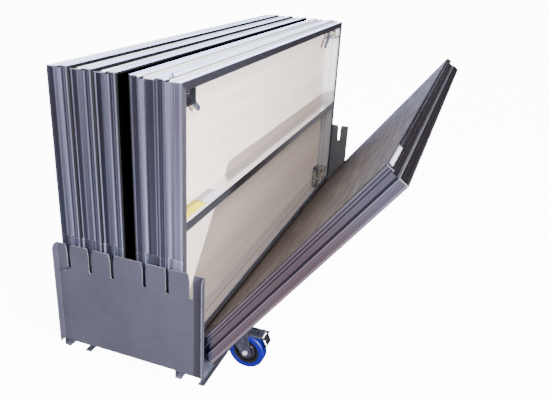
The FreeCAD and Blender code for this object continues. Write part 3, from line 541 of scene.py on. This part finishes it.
def deckBoard(name, deck, board):
    # birch ply below, dark wood-grain film above; the grain runs along the deck
    material, shader, place = newFinish(name)
    local = deckAxes(place, deck)
    wander = local.stretch(*board["wander"]).noise(1.0, 3)
    grain = local.stretch(*board["grain"]).noise(1.0, 5, 0.62)
    streak = local.stretch(*board["streak"]).noise(1.0, 4, 0.6).rise(*board["streakRange"])
    fibre = local.stretch(*board["fibre"]).noise(1.0, 3)
    ply = (0.45 * grain + 0.4 * wander + 0.15 * fibre).rise(*board["plyRange"]).colour(*board["ply"])
    # the film's share of its colour is near zero on the upright decks: near-black film as painted shade in
    # the gaps between them
    low, high, fleck = (scaled(shade, deck["film"]) for shade in board["film"])
    film = (0.6 * grain + 0.4 * fibre).rise(*board["filmRange"]).colour(low, high)
    filmWorn = (streak * 0.5).colour(film, fleck)
    below = local.axis("X").rise(*board["split"])
    setShader(shader, {
        "Base Color": below.colour(filmWorn, ply),
        "Roughness": 0.6 - 0.12 * streak + 0.1 * fibre,
        "Specular IOR Level": board["specular"] * deck["film"],
        "Normal": (0.6 * grain + 0.4 * streak).bump(*board["bump"]),
    })
    return material


for number, deck in deckPlaces.items():
    dress([f"deck_{number}_frame"], aluminium(f"deckAluminium{number}", deck, drawnMetal))
    dress([f"deck_{number}_mid_beam"], beamMetal(f"beamAluminium{number}", deck, drawnMetal, beamLook))
    dress([f"deck_{number}_panel"], deckBoard(f"deckPlywood{number}", deck, boardLook))
print("decks dressed")

coatLook = {
    "peel": 900,
    "cloud": 5,
    "scuff": (30, 30, 160),
    "scuffRange": (0.62, 0.8),
    "coatRange": (0.3, 0.7),
    "upperFacing": (0.6, 0.8),
    "paleEdge": 0.0016,
    "round": 0.0012,
    "bump": (0.0002, 0.4),
}


def powderCoat(name, dark, pale, edgeColour, litTop=None, look=coatLook):
    # sprayed coat with a fine orange peel and scuffs; its edges are paled, partly as bare-metal wear and
    # partly as a painted highlight; upper faces may be painted paler, as painted light
    material, shader, place = newFinish(name)
    peel = place.noise(look["peel"], 2)
    cloud = place.noise(look["cloud"], 4)
    scuff = place.stretch(*look["scuff"]).noise(1.0, 5, 0.7).rise(*look["scuffRange"])
    coat = (0.7 * cloud + 0.3 * peel).rise(*look["coatRange"]).colour(dark, pale)
    if litTop:
        coat = place.normal().axis("Z").rise(*look["upperFacing"]).colour(coat, litTop)
    scuffed = (0.2 * scuff).colour(coat, edgeColour)
    setShader(shader, {
        # pale edges: bare-metal wear and a painted highlight
        "Base Color": (place.edge(look["paleEdge"]) * 0.75).colour(scuffed, edgeColour),
        "Roughness": 0.4 + 0.18 * cloud,
        "Normal": peel.bump(*look["bump"], place.rounded(look["round"])),
    })
    return material


# the rear plate's coat is paler than the front's: painted light that lifts it out of the shade behind the
# decks
dress(["end_plate_front"], powderCoat("powderCoat", tint(58, 58, 70), tint(66, 66, 80), tint(205, 207, 214)))
dress(["end_plate_rear"],
      powderCoat("powderCoatFar", tint(86, 86, 93), tint(95, 95, 102), tint(160, 160, 166)))
# the rails: dark sides and paler upper faces, as painted shade on the sides and painted light on top
dress(["base_rail_left", "base_rail_right"],
      powderCoat("railSteel", tint(34, 36, 45), tint(46, 48, 58), tint(120, 123, 136), tint(82, 86, 102)))

zincLook = {
    "cloud": 45,
    "fine": 420,
    "cloudRange": (0.3, 0.7),
    "spots": 110,
    "spotRange": (0.47, 0.55),
    "spotColour": tint(104, 104, 96),
    "farRange": (-0.4, 0.4),
    "paleEdge": 0.0012,
    "edgeColour": tint(235, 236, 238),
    "round": 0.001,
    "bump": (0.00015, 0.25),
}


def zinc(name, dark, pale, rough, metallic=1.0, far=None, look=zincLook):
    # plated steel with the soft clouding of the bath and edges paled as a painted highlight; the far end of
    # a long piece may be painted paler, as painted light, and spotted
    material, shader, place = newFinish(name)
    cloud = place.noise(look["cloud"], 5, 0.65)
    fine = place.noise(look["fine"], 3)
    plate = cloud.rise(*look["cloudRange"]).colour(dark, pale)
    if far:
        spotted = place.noise(look["spots"], 2).rise(*look["spotRange"]).colour(far, look["spotColour"])
        plate = place.axis("Y").rise(*look["farRange"]).colour(plate, spotted)
    setShader(shader, {
        "Base Color": (place.edge(look["paleEdge"]) * 0.5).colour(plate, look["edgeColour"]),
        "Metallic": metallic,
        "Roughness": rough + 0.16 * cloud + 0.05 * fine,
        "Normal": fine.bump(*look["bump"], place.rounded(look["round"])),
    })
    return material


corners = ("front_left", "front_right", "rear_left", "rear_right")
screwPlaces = ("front_low", "front_high", "rear_low", "rear_high")
zincSteel = zinc("zincSteel", tint(128, 131, 146), tint(178, 181, 194), 0.2)
forkZinc = zinc("forkZinc", tint(62, 64, 82), tint(98, 100, 118), 0.22, 0.72)
# axles and bolt heads near white, paler than the other zinc: a painted highlight
axleZinc = zinc("axleZinc", tint(226, 227, 232), tint(246, 246, 248), 0.3, 0.6)
castIron = zinc("castClamp", tint(112, 114, 122), tint(166, 168, 174), 0.24)
# leg brackets: dark near and pale far, painted shade near and painted light far
legZinc = zinc("legBracket", tint(58, 58, 66), tint(92, 92, 102), 0.3, 0.85, tint(214, 214, 208))
darkScrew = zinc("wingScrew", tint(92, 100, 120), tint(124, 132, 152), 0.3, 0.7)
barMetal = zinc("barAluminium", tint(188, 190, 195), tint(214, 216, 222), 0.3)
dress(["plate_bolts", "caster_plates", "caster_bolts", "deck_1_lock_pins", "deck_5_groove_clips"], zincSteel)
dress([f"caster_{corner}_fork" for corner in corners], forkZinc)
dress([f"caster_{corner}_axle" for corner in corners], axleZinc)
dress([f"deck_{number}_leg_clamps" for number in (1, 2, 3, 4, 6)], castIron)
dress(["deck_5_leg_brackets"], legZinc)
dress([f"deck_5_wing_screw_{spot}" for spot in screwPlaces], darkScrew)
dress(["cross_bars"], barMetal)

mouldLook = {"dust": 28, "dustRange": (0.45, 0.8), "round": 0.0012, "bump": (0.0002, 0.3)}


def moulded(name, dark, pale, rough, grainSize, look=mouldLook):
    # moulded plastic or rubber: fine grain, faint pale dust
    material, shader, place = newFinish(name)
    grain = place.noise(grainSize, 2)
    dust = place.noise(look["dust"], 5, 0.7).rise(*look["dustRange"])
    setShader(shader, {
        "Base Color": (0.7 * dust + 0.3 * grain).colour(dark, pale),
        "Roughness": rough + 0.2 * dust,
        "Normal": grain.bump(*look["bump"], place.rounded(look["round"])),
    })
    return material


blueTyre = moulded("tyreRubber", tint(0, 4, 106), tint(2, 14, 128), 0.42, 700)
blackCore = moulded("corePlastic", tint(14, 14, 16), tint(36, 36, 40), 0.36, 900)
blackPedal = moulded("pedalPlastic", tint(16, 16, 18), tint(40, 40, 44), 0.42, 1100)
boardFilm = moulded("boardPlywood", tint(34, 28, 24), tint(66, 57, 50), 0.5, 260)
dress([f"caster_{corner}_tyre" for corner in corners], blueTyre)
dress([f"caster_{corner}_wheel_core" for corner in corners], blackCore)
dress([f"caster_{corner}_brake_pedal" for corner in corners] + ["bar_caps"], blackPedal)
dress(["support_boards"], boardFilm)
print("dolly dressed")


def gridFaces(rows, columns, closeRows, closeColumns):
    # quads between neighbouring grid points, wrapping round where a direction is closed
    rowSteps = np.arange(rows - (not closeRows))
    columnSteps = np.arange(columns - (not closeColumns))
    i, j = np.meshgrid(rowSteps, columnSteps, indexing="ij")
    nextI, nextJ = (i + 1) % rows, (j + 1) % columns
    quads = [i * columns + j, nextI * columns + j, nextI * columns + nextJ, i * columns + nextJ]
    return np.stack(quads, -1).reshape(-1, 4)


def gridPiece(name, grids, closeRows, closeColumns, material, body):
    # joins equal grids of points into one mesh that rides on a body
    points = np.concatenate([grid.reshape(-1, 3) for grid in grids])
    rows, columns = grids[0].shape[:2]
    faces = gridFaces(rows, columns, closeRows, closeColumns)
    faces = np.concatenate([faces + index * rows * columns for index in range(len(grids))])
    mesh = bpy.data.meshes.new(name)
    mesh.from_pydata(points.tolist(), [], faces.tolist())
    mesh.polygons.foreach_set("use_smooth", np.ones(len(faces), bool))
    mesh.materials.append(material)
    piece = bpy.data.objects.new(name, mesh)
    bpy.context.scene.collection.objects.link(piece)
    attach(piece, body)


def carried(profile, turns, place):
    # a loop of (reach, out) points carried once round an axle; reversed, so that its normals look outward
    turn = np.linspace(0, 2 * math.pi, turns, endpoint=False)[:, None]
    reach, out = profile[None, ::-1, 0], profile[None, ::-1, 1] + 0 * turn
    return place(reach * np.cos(turn), out, reach * np.sin(turn))


def standing(x, y, z):
    # places a carried profile upright at a point
    return lambda across, up, along: np.stack([x + across, y + along, z + up], -1)


wheelHub = {
    "disc": np.array([[17.2, 8.5], [36.0, 8.5], [36.6, 15.6], [35.2, 18.0], [31.0, 18.6], [24.0, 17.0],
                      [17.2, 16.6]]) / 1000,  # reach from the axle, and out from the wheel's middle
    "ridge": 0.0445, "across": 0.0016, "proud": 0.0022, "web": 0.009, "turns": 72, "steps": 12,
}


def ridgeLoop(hub):
    # an ellipse that stands on the web
    around = np.linspace(0, 2 * math.pi, hub["steps"], endpoint=False)
    reach = hub["ridge"] + hub["across"] * np.cos(around)
    return np.stack([reach, hub["web"] + hub["proud"] * np.sin(around)], -1)


def onWheel(middle, side):
    # the wheel's two faces look along -Y and +Y
    return lambda x, out, z: np.stack([middle[0] + x, middle[1] + side * out, middle[2] + side * z], -1)


brakeCam = {
    "from": 0.042, "level": 0.0903,  # from the wheel's axle, out to the housing's eye and up to it
    "profile": np.array([[0.0, 0.0], [8.0, -0.1], [12.0, -0.6], [13.0, -3.0], [13.0, -12.0],
                         [0.0, -12.5]]) / 1000,
    "turns": 36,
}
hubPlastic = moulded("hubPlastic", tint(22, 22, 27), tint(46, 46, 54), 0.3, 900)
camMetal = zinc("brakeCam", tint(30, 31, 36), tint(54, 55, 62), 0.3)
for corner in corners:
    low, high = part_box(f"caster_{corner}_tyre")
    middle = (low + high) / 2
    sides = [onWheel(middle, side) for side in (-1, 1)]
    discs = [carried(wheelHub["disc"], wheelHub["turns"], side) for side in sides]
    ridges = [carried(ridgeLoop(wheelHub), wheelHub["turns"], side) for side in sides]
    eye = standing(middle[0] + brakeCam["from"], middle[1], middle[2] + brakeCam["level"])
    cam = carried(brakeCam["profile"], brakeCam["turns"], eye)
    wheel = f"caster_{corner}_wheel"
    gridPiece(f"wheel_hub_{corner}", discs, True, True, hubPlastic, wheel)
    gridPiece(f"wheel_ridge_{corner}", ridges, True, True, blackCore, wheel)
    gridPiece(f"brake_cam_{corner}", [cam], True, False, camMetal, f"caster_{corner}_swivel")
print("wheel hubs and brake cams made")

blankTags = {
    "edge": ((0.004, 0.0185), (-0.985, -0.8)),  # across and along
    "yellow": ((0.132, 0.184), (-0.962, -0.775)),
    "pale": ((0.134, 0.196), (-0.772, -0.655)),
    "thick": 0.0004, "rows": 14,
    "deckEdge": 1.0003, "beamTop": 0.7983,
}


def sheetGrid(across, along, place, tags):
    # a flat sheet: a thin loop across it, carried along it and closed flat at both ends
    loop = np.array([across[0], across[1], across[1], across[0]])[None, :]
    length = np.linspace(*along, tags["rows"])[:, None]
    swell = np.ones((tags["rows"], 1)) * tags["thick"]
    swell[[0, -1]] = 0
    return place(loop + 0 * length, length + 0 * loop, swell * np.array([[0, 0, 1, 1]]))


def onTilted(height):
    # depth, length and height on the tilted deck's upper edge, turned by its lean
    def place(depth, length, up):
        out, rise = depth - tilt["depth"], height + up - tilt["setBack"]
        x = tilt["foot"] + out * leanCos + rise * leanSin
        z = tilt["seat"] - out * leanSin + rise * leanCos
        return np.stack([x, length, z], -1)
    return place


def onLevel(height):
    return lambda x, y, up: np.stack([x, y, height + up], -1)


onBeam = onLevel(blankTags["beamTop"])
edgeTag = sheetGrid(*blankTags["edge"], onTilted(blankTags["deckEdge"]), blankTags)
yellowTag = sheetGrid(*blankTags["yellow"], onBeam, blankTags)
paleTag = sheetGrid(*blankTags["pale"], onBeam, blankTags)
tagWhite = moulded("tagWhite", tint(196, 198, 214), tint(178, 180, 196), 0.5, 300)
tagYellow = moulded("tagYellow", tint(208, 198, 26), tint(192, 182, 18), 0.5, 300)
gridPiece("blank_tag", [edgeTag], False, True, tagWhite, "deck_6")
gridPiece("blank_tag_yellow", [yellowTag], False, True, tagYellow, "deck_5")
gridPiece("blank_tag_pale", [paleTag], False, True, tagWhite, "deck_5")

beamBolts = {
    "places": ((0.1564, 0.962), (0.1905, 0.962), (0.1564, -0.962), (0.1905, -0.962)), "level": 0.798,
    "profile": np.array([[0.0, 5.2], [4.0, 5.0], [6.4, 3.6], [7.0, 1.6], [9.0, 1.4], [9.0, 0.0],
                         [0.0, 0.0]]) / 1000,
    "turns": 24,
}
heads = [carried(beamBolts["profile"], beamBolts["turns"], standing(x, y, beamBolts["level"]))
         for x, y in beamBolts["places"]]
gridPiece("beam_bolts", heads, True, False, axleZinc, "deck_5")
print("blank tags and beam bolts made")
